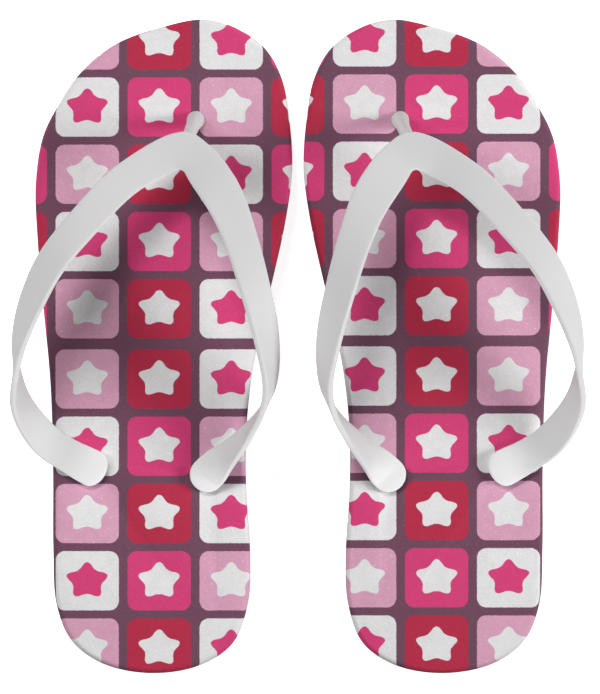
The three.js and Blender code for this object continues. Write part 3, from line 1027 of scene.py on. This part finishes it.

# The tongues are painted lighter than the bridge: a painted highlight for the light that falls on them
# where they lie flat.
tongue_highlight = band.verts.layers.float.new("tongue")
ring_size = len(band_rings[0])
ring_tongue_highlight = [1.0] * len(outer_end) + list(tongues) + [1.0] * len(inner_end)
band.verts.ensure_lookup_table()
for i, vert in enumerate(band.verts):
    vert[tongue_highlight] = ring_tongue_highlight[i // ring_size]

strap_plastic, strap_tree, strap_shader = new_material("strap_plastic")
strap_shader.inputs["Specular IOR Level"].default_value = 0.4
# The tongue attribute mixes the painted highlight into the tongues.
tongue_highlight_part = strap_tree.nodes.new("ShaderNodeAttribute")
tongue_highlight_part.attribute_name = "tongue"
strap_white_with_highlight = mixed(strap_tree, tongue_highlight_part.outputs["Fac"], STRAP_COLOUR, TONGUE_HIGHLIGHT_COLOUR)
add_grain(
    strap_tree, strap_shader, strap_white_with_highlight,
    grains=1900.0, cloud=0.05, roughness=0.56, swing=0.12, depth=0.00003,
)

for side, piece in make_pair("thong_band", band, strap_plastic, BAND_SMOOTH_BELOW).items():
    strap_light.objects.link(piece)
    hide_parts(f"{side}_strap")
    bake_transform(piece)


# ---------------------------------------------------------------- Toe post
# The post is moulded with the band: it leans back from its hole between the toes to the V. Its
# stem passes through the sole and ends in a round button in the outsole.

POST_SET_FORWARD = 2.5
STEM_RADIUS = 3.0
BUTTON_RADIUS = 8.0
BUTTON_THICKNESS = 2.2
BUTTON_LIFT = 0.35
BUTTON_EDGE = 0.5
BUTTON_CORNER = 0.15
BUTTON_FACE_RIM = 1.6
STEM_FILLET = 0.3
POST_CLEARANCE = 0.05
POST_FOOT_RISE = 0.1
STEM_STOP = 0.2

# The dish in the middle of the button's face: radius and depth.
BUTTON_DISH = [(0.6, 0.35), (2.6, 0.35), (3.1, 0.05)]

# Part of the way up from the footbed to the underside of the V, and the post's radius there.
POST_SHAPE = [
    (0.0, 3.45), (0.03, 3.38), (0.1, 3.05), (0.2, 2.78), (0.35, 2.6), (0.5, 2.5),
    (0.65, 2.42), (0.78, 2.42), (0.87, 2.55), (0.93, 2.75), (0.97, 3.1), (1.0, 3.6),
]


def button_profile(top):
    """Radius and height of a button with a shallow dish below, and of the stem above it."""
    low = BUTTON_LIFT
    high = BUTTON_LIFT + BUTTON_THICKNESS
    return [
        *((radius, low + depth) for radius, depth in BUTTON_DISH),
        (BUTTON_RADIUS - BUTTON_FACE_RIM, low), (BUTTON_RADIUS - BUTTON_EDGE, low),
        (BUTTON_RADIUS - BUTTON_CORNER, low + BUTTON_CORNER), (BUTTON_RADIUS, low + BUTTON_EDGE),
        (BUTTON_RADIUS, high - BUTTON_EDGE), (BUTTON_RADIUS - BUTTON_CORNER, high - BUTTON_CORNER),
        (BUTTON_RADIUS - BUTTON_EDGE, high), (STEM_RADIUS + STEM_FILLET, high),
        (STEM_RADIUS, high + STEM_FILLET), (STEM_RADIUS, top),
    ]


post_foot = place(TOE_HOLE)
post_head = place(APEX) + np.array([0, POST_SET_FORWARD])
post_rise = STRAP_RISE * APEX_RISE / 100 - BAND_THICKNESS / 2 - POST_CLEARANCE
stem_top = float(footbed(post_foot[1])) - STEM_STOP
post_rings = [round_ring(post_foot, radius, height) for radius, height in button_profile(stem_top)]
for part, radius in POST_SHAPE:
    centre = post_foot + (post_head - post_foot) * part
    rise = POST_FOOT_RISE + (post_rise - POST_FOOT_RISE) * part
    post_rings.append(round_ring(centre, radius, lambda y, rise=rise: footbed(y) + rise))
post = skin(post_rings)

for side, piece in make_pair("thong_post", post, strap_plastic).items():
    strap_light.objects.link(piece)
    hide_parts(f"{side}_toe_post")
    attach(piece, f"{side}_fore")


# ---------------------------------------------------------------- Side plugs
# Each tongue ends in a plug moulded with it: a stem down through the sole and a round button that
# snaps into its recess in the outsole.

PLUG_RISE = 0.1

for plug_name, hole, node_name in (
    ("outer_anchor", holes[1], "lateral_plug"), ("inner_anchor", holes[2], "medial_plug"),
):
    plug = turned(hole, button_profile(float(footbed(hole[1])) + PLUG_RISE))
    for side, piece in make_pair(plug_name, plug, strap_plastic).items():
        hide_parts(f"{side}_{node_name}")
        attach(piece, f"{side}_rear")
